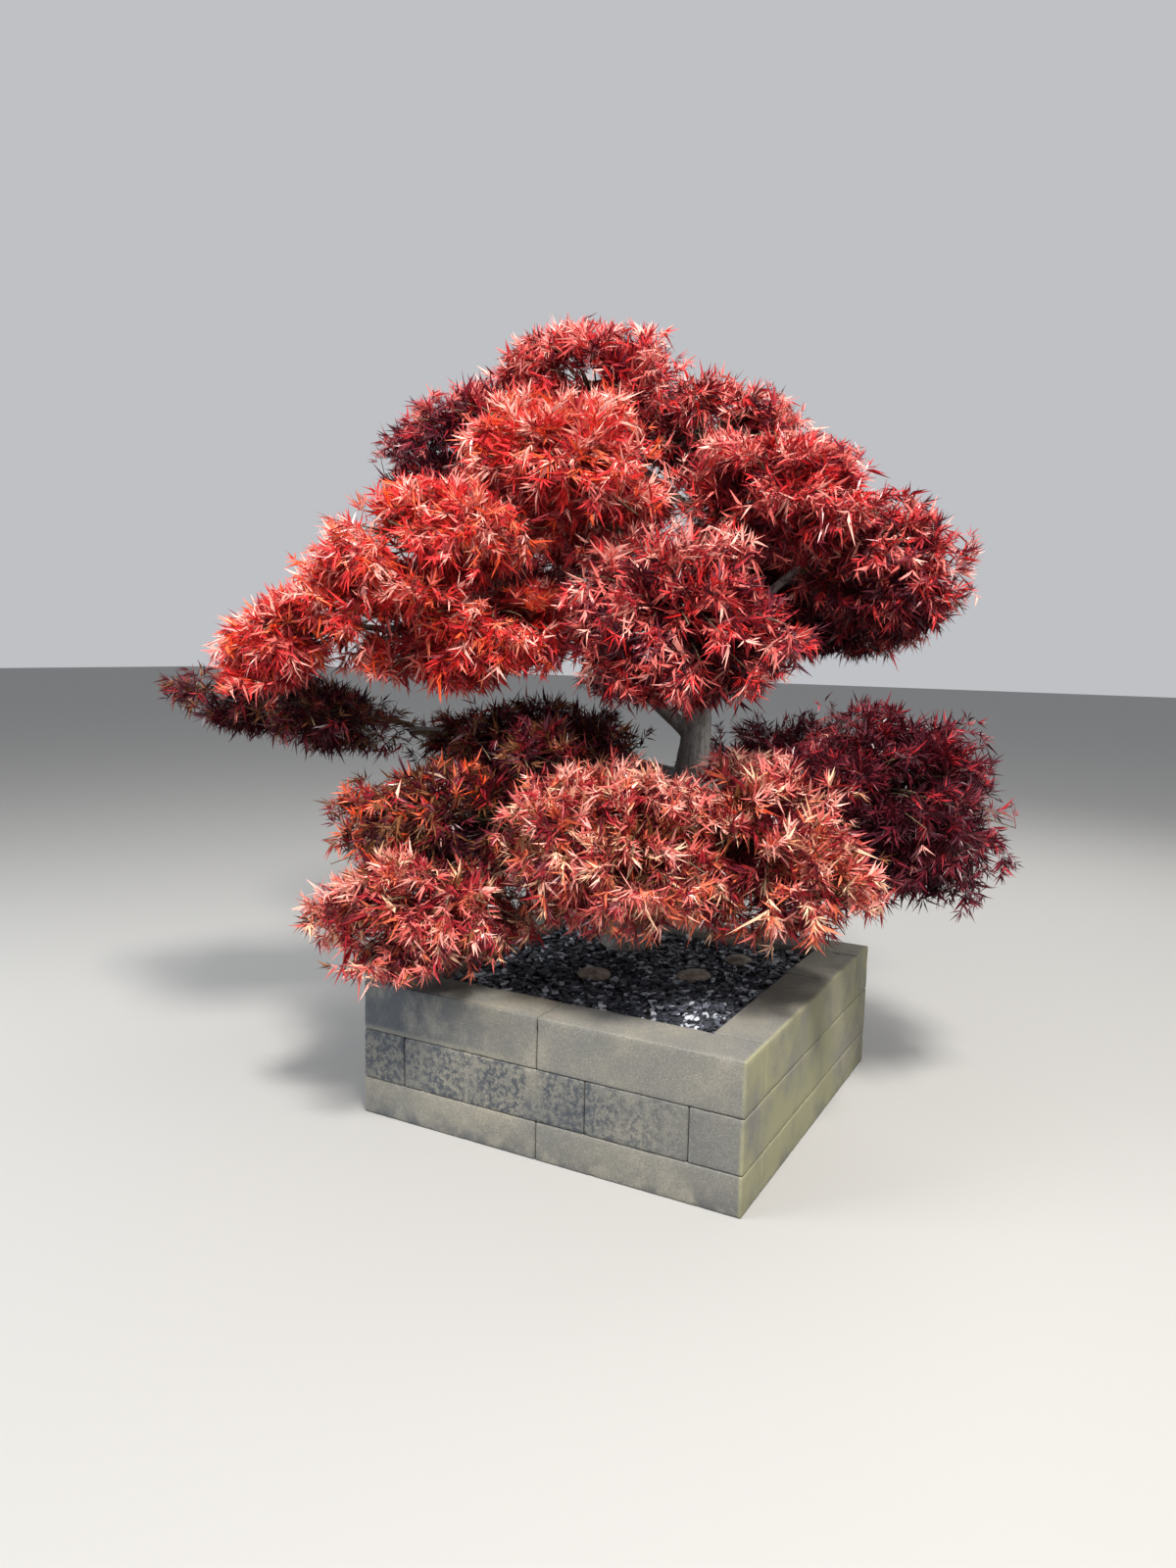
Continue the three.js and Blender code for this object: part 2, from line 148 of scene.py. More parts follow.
class Paint:
    def __init__(self, name, color, roughness, specular=0.35):
        self.material = bpy.data.materials.new(name)
        self.material.use_nodes = True
        self.tree = self.material.node_tree
        self.shader = self.tree.nodes["Principled BSDF"]
        self.shader.inputs["Base Color"].default_value = (*color, 1)
        self.shader.inputs["Roughness"].default_value = roughness
        self.shader.inputs["Specular IOR Level"].default_value = specular
        self.place = None

    def node(self, kind, **settings):
        made = self.tree.nodes.new(kind)
        for key, value in settings.items():
            setattr(made, key, value)
        return made

    def link(self, source, target):
        self.tree.links.new(source, target)

    def feed(self, socket, value):  # a colour, a number or another node's output
        if isinstance(value, tuple):
            socket.default_value = (*value, 1)
        elif isinstance(value, (int, float)):
            socket.default_value = value
        else:
            self.link(value, socket)

    def coordinates(self, scale=(1, 1, 1)):
        if self.place is None:
            self.place = self.node("ShaderNodeTexCoord").outputs["Object"]
        mapping = self.node("ShaderNodeMapping")
        mapping.inputs["Scale"].default_value = scale
        self.link(self.place, mapping.inputs["Vector"])
        return mapping.outputs["Vector"]

    def noise(self, scale, detail=4, rough=0.55, stretch=(1, 1, 1)):
        made = self.node("ShaderNodeTexNoise")
        made.inputs["Scale"].default_value = scale
        made.inputs["Detail"].default_value = detail
        made.inputs["Roughness"].default_value = rough
        self.link(self.coordinates(stretch), made.inputs["Vector"])
        return made.outputs["Fac"]

    def cells(self, scale, feature="F1", stretch=(1, 1, 1)):
        made = self.node("ShaderNodeTexVoronoi", feature=feature)
        made.inputs["Scale"].default_value = scale
        self.link(self.coordinates(stretch), made.inputs["Vector"])
        return made.outputs["Distance"]

    def remap(self, value, low, high, start=0.0, end=1.0):
        made = self.node("ShaderNodeMapRange", interpolation_type="SMOOTHSTEP")
        limits = {"From Min": low, "From Max": high, "To Min": start, "To Max": end}
        for name, number in limits.items():
            made.inputs[name].default_value = number
        self.link(value, made.inputs["Value"])
        return made.outputs["Result"]

    def clouds(self, settings, limits):  # noise that fades in between two limits
        return self.remap(self.noise(*settings), *limits)

    def math(self, operation, a, b):
        made = self.node("ShaderNodeMath", operation=operation)
        for socket, value in zip(made.inputs, (a, b)):
            self.feed(socket, value)
        return made.outputs["Value"]

    def times(self, first, *others):
        for other in others:
            first = self.math("MULTIPLY", first, other)
        return first

    def plus(self, a, b):
        return self.math("ADD", a, b)

    def axis(self, letter):
        made = self.node("ShaderNodeSeparateXYZ")
        self.link(self.coordinates(), made.inputs["Vector"])
        return made.outputs[letter]

    def blend(self, share, a, b):
        made = self.node("ShaderNodeMix", data_type="RGBA")
        for number, value in ((0, share), (6, a), (7, b)):  # its share and its two colours
            self.feed(made.inputs[number], value)
        return made.outputs[2]

    def coat(self, base, mask, strength, color):
        return self.blend(self.times(mask, strength), base, color)

    def color(self, value):
        self.link(value, self.shader.inputs["Base Color"])

    def roughness(self, value):
        self.link(value, self.shader.inputs["Roughness"])

    def relief(self, height, distance, strength=1.0):
        made = self.node("ShaderNodeBump")
        made.inputs["Distance"].default_value = distance
        made.inputs["Strength"].default_value = strength
        self.link(height, made.inputs["Height"])
        self.link(made.outputs["Normal"], self.shader.inputs["Normal"])


# Concrete blocks

concrete = {
    "pale": (0.24, 0.222, 0.175),
    "grey": (0.135, 0.134, 0.124),
    "dust": (0.085, 0.085, 0.080),
    "grit": (0.62, 0.60, 0.54),
    # blue-black for stains, also used for painted shade
    "stainAndShade": (0.034, 0.042, 0.055),
    # warm yellow of painted light on the right side face
    "paintedSideLight": (0.30, 0.29, 0.15),
    "roughness": 0.9,
    "clouds": (  # noise, where it starts and is full, strength, colour
        ((2.6, 5, 0.6), (0.36, 0.66), 1.0, "grey"),
        ((11, 6, 0.65), (0.40, 0.68), 0.55, "grey"),
        ((170, 3, 0.8), (0.40, 0.62), 0.45, "dust"),
    ),
    "specks": (  # cells, where they start and are full, strength, colour
        (230, (0.22, 0.10), 0.5, "grit"),
        (120, (0.10, 0.05), 0.6, "stainAndShade"),
    ),
    "streaks": ((7, 7, 0.7, (1, 1, 0.6)), (0.33, 0.52)),
    "flecks": ((64, 9, 0.8), (0.46, 0.54, 0.25, 1.0)),
    "groundClouds": ((16, 6), (0.35, 0.6)),
    "sideLightPatches": ((5,), (0.3, 0.6)),
    "wear": ((40,), (0.3, 0.7, 0.82, 0.96)),
    "frontFace": (-0.585, -0.595),  # where the front's stains and painted shade and the side's painted warm light set in
    "sideFace": (0.585, 0.595),
    "course": (0.104, 0.264),  # bottom and top of the stained course
    "courseFades": (0.012, 0.008, 0.02),  # at its bottom, under its top, over its top
    "courseStretch": (0.66, 0.15),  # along the front, from clean to stained
    # the left of the top course: stain and painted shade
    "upperShadeStretch": (0.10, -0.45),
    "groundDarkTop": 0.09,
    "upperStainAndShade": 0.8,
    "courseStain": 0.9,
    "groundDarkening": 0.6,
    "sideLightStrength": 0.6,
    "pits": (160, (0.0, 0.22)),
    "pores": (260, 6, 0.7),
    "poreShare": 0.7,
    "pitDepth": 0.0014,
    "pitStrength": 0.8,
    "arris": 0.005,
    "lattice": 0.016,
    "wave": 0.0007,
    "waveScale": 14,
    "lumpScale": 70,
    "chip": 0.007,
    "chipScale": 38,
    "chipLevel": 0.25,
    "chipReach": 0.012,
    "seedStep": 3.1,
    "chipSeed": 1.7,
}


def concreteMaterial():
    paint = Paint("weathered_concrete", concrete["pale"], concrete["roughness"])
    base = concrete["pale"]
    for settings, limits, strength, tone in concrete["clouds"]:
        base = paint.coat(base, paint.clouds(settings, limits), strength, concrete[tone])
    for scale, limits, strength, tone in concrete["specks"]:
        mask = paint.remap(paint.cells(scale), *limits)
        base = paint.coat(base, mask, strength, concrete[tone])

    stainAndShade = concrete["stainAndShade"]
    low, high = concrete["course"]
    rise, fall, over = concrete["courseFades"]
    height, across = paint.axis("Z"), paint.axis("X")
    front = paint.remap(paint.axis("Y"), *concrete["frontFace"])
    streaks = paint.clouds(*concrete["streaks"])
    # stain and painted shade: the left of the top course's front is darkened, partly for real
    # staining and partly for the tree's shadow on it
    upper = paint.times(paint.remap(height, high, high + over),
                        paint.remap(across, *concrete["upperShadeStretch"]), front, streaks)
    base = paint.coat(base, upper, concrete["upperStainAndShade"], stainAndShade)
    course = paint.times(paint.remap(height, low, low + rise),
                         paint.remap(height, high, high - fall),
                         paint.remap(across, *concrete["courseStretch"]), front, streaks,
                         paint.clouds(*concrete["flecks"]))
    base = paint.coat(base, course, concrete["courseStain"], stainAndShade)
    # darker towards the bottom of the wall, in blue-black clouds
    nearGround = paint.times(paint.remap(height, concrete["groundDarkTop"], 0.0),
                         paint.clouds(*concrete["groundClouds"]))
    base = paint.coat(base, nearGround, concrete["groundDarkening"], stainAndShade)
    # painted light: the right side face is tinted warm yellow in patches where the light falls
    # on it
    side = paint.times(paint.remap(across, *concrete["sideFace"]),
                       paint.clouds(*concrete["sideLightPatches"]))
    paint.color(paint.coat(base, side, concrete["sideLightStrength"], concrete["paintedSideLight"]))

    paint.roughness(paint.clouds(*concrete["wear"]))
    scale, limits = concrete["pits"]
    pits = paint.remap(paint.cells(scale), *limits)
    pores = paint.times(paint.noise(*concrete["pores"]), concrete["poreShare"])
    paint.relief(paint.plus(pores, pits), concrete["pitDepth"], concrete["pitStrength"])
    return paint.material


def evenNoise(spot):  # from 0 to 1
    return noise.noise(spot) * 0.5 + 0.5


def blockMesh(name, low, high, seed):
    size, middle = high - low, (low + high) / 2
    bm = boxBmesh(low, high)
    bmesh.ops.bevel(bm, geom=bm.edges[:], offset=concrete["arris"], segments=3, profile=0.5,
                    affect="EDGES", material=-1)
    for axis in range(3):
        cuts = max(int(size[axis] / concrete["lattice"]), 1)
        normal = Vector([float(k == axis) for k in range(3)])
        for step in range(1, cuts):
            spot = low + size * (step / cuts)
            geom = bm.verts[:] + bm.edges[:] + bm.faces[:]
            bmesh.ops.bisect_plane(bm, geom=geom, plane_co=spot, plane_no=normal, dist=1e-6)
    bm.normal_update()
    reach = concrete["chipReach"]
    for vert in bm.verts:
        away = [max(size[k] / 2 - abs(vert.co[k] - middle[k]), 0) for k in range(3)]
        fromEdge = sorted(away)[1]
        wave = evenNoise(vert.co * concrete["waveScale"] + Vector((seed, 0, 0)))
        lump = evenNoise(vert.co * concrete["lumpScale"] + Vector((0, seed, 0)))
        sink = concrete["wave"] * (wave + lump)
        if fromEdge < reach:
            shift = Vector((0, 0, seed * concrete["chipSeed"]))
            bite = noise.noise(vert.co * concrete["chipScale"] + shift)
            depth = concrete["chip"] * max(bite - concrete["chipLevel"], 0)
            sink += depth * (1 - fromEdge / reach)
        vert.co -= vert.normal * sink
    return meshFromBmesh(name, bm)


def buildBlocks():
    material = concreteMaterial()
    blocks = sorted(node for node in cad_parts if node.startswith("block_"))
    for number, node in enumerate(blocks):
        low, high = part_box(node)
        name = node.replace("block", "concrete")
        mesh = blockMesh(name, low, high, number * concrete["seedStep"])
        addPiece(name, mesh, material, [node])
    print("blocks:", len(blocks))


buildBlocks()


# Soil, slate chips and cobbles

soil = {
    "plain": (0.03, 0.026, 0.022),
    "dark": (0.02, 0.018, 0.016),
    "light": (0.07, 0.055, 0.042),
    "roughness": 0.95,
    "patches": ((30, 6, 0.7), (0.35, 0.7)),
    "crumbs": (120, 6, 0.7),
    "crumbDepth": 0.003,
    "cuts": 60,
    "waves": ((16, 0.004), (60, 0.002)),  # how close they stand and how high they are
    "sink": 0.004,
}


def soilMaterial():
    paint = Paint("dark_soil", soil["plain"], soil["roughness"])
    tone = paint.clouds(*soil["patches"])
    paint.color(paint.blend(tone, soil["dark"], soil["light"]))
    paint.relief(paint.noise(*soil["crumbs"]), soil["crumbDepth"])
    return paint.material


def buildSoil():
    low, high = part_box("soil_fill")
    bm = boxBmesh(low, high)
    top = [face for face in bm.faces if face.normal.z > 0.5]
    edges = {edge for face in top for edge in face.edges}
    bmesh.ops.subdivide_edges(bm, edges=list(edges), cuts=soil["cuts"], use_grid_fill=True)
    for vert in bm.verts:
        if vert.co.z > high.z - 1e-5:
            rise = sum(tall * noise.noise(vert.co * scale) for scale, tall in soil["waves"])
            vert.co.z += rise - soil["sink"]
    mesh = meshFromBmesh("soil_bed", bm)
    addPiece("soil_bed", mesh, soilMaterial(), ["soil_fill"])


gravel = {
    "count": 5200,
    "size": (0.007, 0.019),
    "sizeSpread": (0.7, 1.15),
    "thick": (0.003, 0.007),
    "corners": 6,
    "cornerTurn": 0.35,
    "cornerReach": (0.65, 1.1),
    "narrowing": (0.6, 1.0),
    "underside": 0.86,
    "unevenness": 0.0012,
    "tilt": 0.35,
    "lift": (-0.003, 0.012),
    "edge": 0.44,
    "seed": 5,
    "tones": {  # colour, roughness and share of the chips
        "slate_dark": ((0.020, 0.022, 0.029), 0.5, 0.52),
        "slate_blue": ((0.060, 0.066, 0.084), 0.45, 0.32),
        # painted glints: the pale chips stand for slate catching the light
        "slate_painted_glint": ((0.34, 0.36, 0.40), 0.35, 0.16),
    },
    "cloudy": ((90, 5, 0.65), (0.35, 0.7)),
    "cloudLift": 1.8,
    "grain": (300, 4, 0.6),
    "grainDepth": 0.0008,
    "grainStrength": 0.6,
    "trunk": (-0.145, 0.221),
    "trunkClear": 0.085,
}


def spunAround(a, b, angles):  # the pair of coordinates, turned
    c, s = np.cos(angles)[:, None], np.sin(angles)[:, None]
    return a * c - b * s, a * s + b * c


def chipArrays(rng, count, ground):
    corners, uneven = gravel["corners"], gravel["unevenness"]
    spots = rng.uniform(-gravel["edge"], gravel["edge"], (count, 2))
    off = np.linalg.norm(spots - np.array(gravel["trunk"]), axis=1)
    spots = spots[off > gravel["trunkClear"]]
    n = len(spots)
    size = rng.uniform(*gravel["size"], (n, 1)) * rng.uniform(*gravel["sizeSpread"], (n, 1))
    around = np.arange(corners) * 2 * math.pi / corners
    angles = around + rng.uniform(-gravel["cornerTurn"], gravel["cornerTurn"], (n, corners))
    reach = size * rng.uniform(*gravel["cornerReach"], (n, corners))
    narrow = rng.uniform(*gravel["narrowing"], (n, 1))
    flat = np.stack([np.cos(angles) * reach, np.sin(angles) * reach * narrow,
                     np.zeros_like(reach)], -1)
    thick = rng.uniform(*gravel["thick"], (n, 1)) / 2
    upper, lower = flat.copy(), flat * gravel["underside"]
    upper[..., 2] = thick + rng.uniform(-uneven, uneven, (n, corners))
    lower[..., 2] = -thick
    shape = np.concatenate([upper, lower], axis=1)
    spin = rng.uniform(0, 2 * math.pi, n)
    lean = rng.normal(0, gravel["tilt"], n)
    x, y, z = shape[..., 0], shape[..., 1], shape[..., 2]
    y, z = spunAround(y, z, lean)
    x, y = spunAround(x, y, spin)
    depth = ground + rng.uniform(*gravel["lift"], n)
    points = np.stack([x + spots[:, :1], y + spots[:, 1:], z + depth[:, None]], -1)
    fan = [(0, k, k + 1) for k in range(1, corners - 1)]
    faces = fan + [(corners + a, corners + c, corners + b) for a, b, c in fan]
    for k in range(corners):
        following = (k + 1) % corners
        faces += [(k, corners + k, corners + following), (k, corners + following, following)]
    triangles = np.array(faces)[None] + (np.arange(n) * 2 * corners)[:, None, None]
    return points.reshape(-1, 3), triangles.reshape(-1, 3)


def buildGravel():
    rng = np.random.default_rng(gravel["seed"])
    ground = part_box("soil_fill")[1].z
    for name, (color, rough, share) in gravel["tones"].items():
        paint = Paint(name, color, rough)
        lighter = tuple(c * gravel["cloudLift"] for c in color)
        paint.color(paint.blend(paint.clouds(*gravel["cloudy"]), color, lighter))
        grain = paint.noise(*gravel["grain"])
        paint.relief(grain, gravel["grainDepth"], gravel["grainStrength"])
        points, triangles = chipArrays(rng, int(gravel["count"] * share), ground)
        addPiece(name, meshFromArrays(name, points, triangles), paint.material)
    print("gravel laid")


cobbles = {
    "spots": ((-0.07, -0.14, 0.055), (0.20, 0.01, 0.053), (0.26, 0.25, 0.047)),
    "narrowing": 0.88,
    "flatness": 0.36,
    "turn": 0.9,
    "lump": 0.10,
    "lumpScale": 22,
    "lumpShift": 5,
    "rise": 0.013,
    "color": (0.17, 0.14, 0.115),
    "speck": (0.42, 0.34, 0.27),
    "grit": (0.08, 0.07, 0.065),
    "roughness": 0.62,
    "gritCells": (380, (0.2, 0.08)),
    "gritStrength": 0.4,
    "mottle": ((38, 6, 0.65), (0.38, 0.66)),
    "skin": (220, 5, 0.6),
    "skinDepth": 0.0008,
    "skinStrength": 0.5,
}


def cobbleMaterial():
    paint = Paint("river_cobble", cobbles["color"], cobbles["roughness"])
    base = paint.blend(paint.clouds(*cobbles["mottle"]), cobbles["color"], cobbles["speck"])
    scale, limits = cobbles["gritCells"]
    grains = paint.remap(paint.cells(scale), *limits)
    paint.color(paint.coat(base, grains, cobbles["gritStrength"], cobbles["grit"]))
    skin = paint.noise(*cobbles["skin"])
    paint.relief(skin, cobbles["skinDepth"], cobbles["skinStrength"])
    return paint.material


def buildCobbles():
    material = cobbleMaterial()
    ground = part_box("soil_fill")[1].z
    flat = (1, cobbles["narrowing"], cobbles["flatness"])
    for number, (x, y, radius) in enumerate(cobbles["spots"]):
        bm = bmesh.new()
        bmesh.ops.create_icosphere(bm, subdivisions=4, radius=radius)
        bmesh.ops.scale(bm, vec=flat, verts=bm.verts)
        turn = Matrix.Rotation(cobbles["turn"] * number, 3, "Z")
        bmesh.ops.rotate(bm, matrix=turn, verts=bm.verts)
        shift = Vector((number * cobbles["lumpShift"], 0, 0))
        for vert in bm.verts:
            lump = noise.noise(vert.co * cobbles["lumpScale"] + shift)
            vert.co *= 1 + cobbles["lump"] * lump
        bmesh.ops.translate(bm, vec=(x, y, ground + cobbles["rise"]), verts=bm.verts)
        name = f"cobble_{number + 1}"
        addPiece(name, meshFromBmesh(name, bm), material)
    print("cobbles:", len(cobbles["spots"]))


buildSoil()
buildGravel()
buildCobbles()


# Trunk and boughs, in metres, along the same curves as the frame's solids

trunk = {
    "points": [
        (-0.145, 0.221, 0.3783),
        (-0.125, 0.236, 0.56),
        (-0.012, 0.300, 0.83),
        (0.038, 0.336, 1.04),
        (0.018, 0.390, 1.40),
        (-0.038, 0.488, 1.85),
        (-0.062, 0.514, 2.01),
    ],
    "foot": 0.060,
    "tip": 0.012,
    "taper": 2.2,
    "flare": 0.034,
    "flareHeight": 0.045,
    "ridges": 5,
    "ridgeDepth": 0.3,
    "sides": 44,
    "rings": 190,
}
boughs = {  # parent, share of its length, tip, arch, radius
    "bough_top": ("trunk", 0.90, (-0.340, 0.380, 2.090), 0.030, 0.021),
    "bough_front": ("trunk", 0.53, (0.010, 0.040, 1.640), 0.040, 0.024),
    "bough_left": ("trunk", 0.45, (-0.440, -0.068, 1.567), 0.050, 0.027),
    "bough_left_far": ("bough_left", 0.78, (-0.690, -0.390, 1.440), 0.040, 0.015),
    "bough_right": ("trunk", 0.57, (0.370, 0.370, 1.670), 0.060, 0.023),
    "bough_back_left": ("trunk", 0.62, (-0.480, 0.570, 1.680), 0.060, 0.022),
    "bough_back_right": ("trunk", 0.49, (0.160, 0.740, 1.430), 0.050, 0.022),
    "bough_low_left": ("trunk", 0.37, (-0.760, -0.170, 1.120), 0.060, 0.023),
    "bough_low_front": ("trunk", 0.30, (0.250, -0.010, 0.960), 0.050, 0.021),
    "bough_low_front_left": ("trunk", 0.22, (-0.400, -0.190, 0.800), 0.050, 0.020),
    "bough_low_right": ("trunk", 0.33, (0.430, 0.470, 1.000), 0.060, 0.021),
    "bough_low_back": ("trunk", 0.26, (-0.450, 0.490, 0.890), 0.060, 0.020),
}
bark = {
    "boughTip": 0.011,
    "boughTaper": 0.8,
    "boughBend": 0.45,
    "sides": 22,
    "step": 0.010,
    "collar": 0.35,
    "collarReach": 0.035,
    "lump": 0.05,
    "lumpScale": 24,
    "ridge": 0.035,
    "ridgeScale": (95, 95, 20),
    "ridgeLevel": 0.8,
    "steepShare": 0.8,  # a limb that rises by more of its length than this is steep
    "grey": (0.31, 0.31, 0.305),
    "brown": (0.20, 0.185, 0.165),
    "lichen": (0.27, 0.27, 0.22),
    "green": (0.13, 0.13, 0.065),
    "crack": (0.06, 0.05, 0.045),
    "roughness": 0.8,
    "streaks": ((46, 6, 0.65, (1, 1, 0.16)), (0.36, 0.64)),
    "blots": ((26, 5, 0.6), (0.56, 0.68)),
    "blotStrength": 0.6,
    "young": ((7,), (0.5, 0.7)),
    "youngStrength": 0.4,
    "crackScale": 90,
    "crackStretch": (1, 1, 0.22),
    "crackLimits": (0.0, 0.07),
    "crackTones": (0.0, 1.0, 0.45, 1.0),
    "sheen": (0.0, 1.0, 0.7, 0.9),
    "grain": (150, 6, 0.6, (1, 1, 0.3)),
    "grainDepth": 0.0016,
    "grainStrength": 0.8,
}


def barkMaterial():
    paint = Paint("maple_bark", bark["grey"], bark["roughness"])
    streaks = paint.clouds(*bark["streaks"])
    base = paint.blend(streaks, bark["grey"], bark["brown"])
    blots, young = paint.clouds(*bark["blots"]), paint.clouds(*bark["young"])
    base = paint.coat(base, blots, bark["blotStrength"], bark["lichen"])
    base = paint.coat(base, young, bark["youngStrength"], bark["green"])
    edges = paint.cells(bark["crackScale"], "DISTANCE_TO_EDGE", bark["crackStretch"])
    cracks = paint.remap(edges, *bark["crackLimits"])
    paint.color(paint.blend(paint.remap(cracks, *bark["crackTones"]), bark["crack"], base))
    paint.roughness(paint.remap(streaks, *bark["sheen"]))
    grain = paint.noise(*bark["grain"])
    paint.relief(paint.plus(cracks, grain), bark["grainDepth"], bark["grainStrength"])
    return paint.material


def limbMesh(name, curve, radiusAt, sides, rings):
    chord = curve["points"][-1] - curve["points"][0]
    steep = abs(chord[2]) > bark["steepShare"] * np.linalg.norm(chord)
    guide = np.array([1.0, 0, 0]) if steep else upwards
    bm = bmesh.new()
    bmesh.ops.create_grid(bm, x_segments=sides, y_segments=rings, size=1)
    shares = np.array([(vert.co.y + 1) / 2 for vert in bm.verts]).clip(0, 1)
    turns = np.array([(vert.co.x + 1) * math.pi for vert in bm.verts])
    centres, tangents = pointAt(curve, shares), tangentAt(curve, shares)
    side = unit(np.cross(guide, tangents))
    other = np.cross(side, tangents)
    ridgeScale = Vector(bark["ridgeScale"])
    for vert, share, turn, centre, a, b in zip(bm.verts, shares, turns, centres, side, other):
        out = Vector(a * math.cos(turn) + b * math.sin(turn))
        radius = radiusAt(share, turn)
        spot = Vector(centre) + out * radius
        lump = noise.noise(spot * bark["lumpScale"])
        ridge = 1 - abs(noise.noise(spot * ridgeScale)) - bark["ridgeLevel"]
        vert.co = spot + out * radius * (bark["lump"] * lump + bark["ridge"] * ridge)
    bmesh.ops.remove_doubles(bm, verts=bm.verts[:], dist=1e-5)
    openEdges = [edge for edge in bm.edges if edge.is_boundary]
    bmesh.ops.holes_fill(bm, edges=openEdges, sides=0)
    bmesh.ops.recalc_face_normals(bm, faces=bm.faces[:])
    return meshFromBmesh(name, bm)


def trunkRadius(share, turn, length):
    plain = mix(trunk["foot"], trunk["tip"], share ** trunk["taper"])
    flare = trunk["flare"] * math.exp(-share * length / trunk["flareHeight"])
    depth = trunk["ridgeDepth"]
    return plain + flare * (1 - depth + depth * math.cos(trunk["ridges"] * turn))


def boughRadius(share, length, radius):
    collar = 1 + bark["collar"] * math.exp(-share * length / bark["collarReach"])
    return mix(radius, bark["boughTip"], share ** bark["boughTaper"]) * collar


def buildLimbs():
    material = barkMaterial()
    curves = {"trunk": threadCurve(trunk["points"])}
    length = curves["trunk"]["length"]
    mesh = limbMesh("trunk_bark", curves["trunk"], lambda s, turn: trunkRadius(s, turn, length),
                    trunk["sides"], trunk["rings"])
    foot = trunk["points"][0][2]
    for vert in mesh.vertices:
        vert.co.z = max(vert.co.z, foot)
    addPiece("trunk_bark", mesh, material, ["trunk"])
    for name, (parent, share, tip, arch, radius) in boughs.items():
        start, tip = pointAt(curves[parent], share), np.array(tip)
        bend = mix(start, tip, bark["boughBend"]) + upwards * arch
        curves[name] = bendCurve(start, bend, tip)
        span = curves[name]["length"]
        piece = name + "_bark"
        mesh = limbMesh(piece, curves[name], lambda s, turn: boughRadius(s, span, radius),
                        bark["sides"], int(span / bark["step"]))
        addPiece(piece, mesh, material, [name])
    print("limbs:", len(curves))
    return curves


limbCurves = buildLimbs()


# Foliage: twigs and leaves grow from each limb's tip, inside their mass's own space

carried = {  # by limb: mass, middle, half sizes, turn, droop, palette
    "bough_top": (
        ("top_middle", (-0.375, 0.285, 2.26), (0.48, 0.36, 0.195), -28, 0, "upper"),
        ("top_left", (-0.705, 0.135, 2.075), (0.38, 0.33, 0.21), 200, 16, "dusky"),
    ),
    "trunk": (
        ("top_right", (-0.01, 0.54, 2.13), (0.43, 0.355, 0.21), 20, 14, "deep"),
    ),
    "bough_front": (
        ("upper_front", (-0.24, -0.16, 1.92), (0.47, 0.35, 0.24), -28, 0, "bright"),
        ("middle_front", (0.175, -0.17, 1.485), (0.49, 0.35, 0.29), -28, 2, "deep"),
    ),
    "bough_left": (
        ("left_high", (-0.53, -0.41, 1.66), (0.49, 0.35, 0.24), 215, 26, "bright"),
        ("left_inner", (-0.43, -0.29, 1.43), (0.45, 0.32, 0.19), 215, 6, "bright"),
    ),
    "bough_left_far": (
        ("left_tip", (-0.87, -0.56, 1.432), (0.35, 0.29, 0.15), 215, 35, "bright"),
    ),
    "bough_right": (
        ("right_high", (0.33, 0.27, 1.86), (0.4, 0.35, 0.24), 20, 10, "upper"),
        ("right_tip", (0.6, 0.45, 1.67), (0.32, 0.33, 0.27), 25, 18, "deep"),
    ),
    "bough_back_left": (
        ("back_high", (-0.57, 0.7, 1.9), (0.44, 0.35, 0.25), 140, 12, "upper"),
        ("back_left", (-0.87, 0.48, 1.54), (0.38, 0.35, 0.23), 165, 16, "dusky"),
    ),
    "bough_back_right": (
        ("back_right", (0.22, 0.85, 1.6), (0.45, 0.35, 0.28), 40, 12, "dusky"),
    ),
    "bough_low_left": (
        ("left_shade", (-1.06, -0.375, 1.178), (0.48, 0.33, 0.128), 205, -10, "shade"),
        ("middle_shade", (-0.4, 0.015, 1.06), (0.635, 0.37, 0.19), -28, 0, "shade"),
    ),
    "bough_low_front": (
        ("front_low", (0.08, -0.35, 0.85), (0.46, 0.37, 0.265), -28, 0, "salmon"),
        ("front_low_right", (0.46, -0.14, 0.85), (0.39, 0.36, 0.28), -28, 12, "salmon"),
    ),
    "bough_low_front_left": (
        ("front_low_left", (-0.4, -0.54, 0.65), (0.4, 0.35, 0.22), 215, 8, "salmon"),
        ("left_low", (-0.5, -0.3, 0.85), (0.43, 0.37, 0.255), 215, 8, "russet"),
    ),
    "bough_low_right": (
        ("right_low", (0.685, 0.3, 0.93), (0.42, 0.4, 0.37), 10, 5, "dim"),
        ("back_low_right", (0.21, 0.84, 0.9), (0.44, 0.38, 0.3), 40, 12, "dim"),
    ),
    "bough_low_back": (
        ("back_low_left", (-0.67, 0.54, 0.85), (0.47, 0.4, 0.3), 150, 10, "shade"),
    ),
}
massKeys = ("name", "middle", "half", "turn", "droop", "palette")
masses = [dict(zip(massKeys, row), limb=limb) for limb, rows in carried.items() for row in rows]
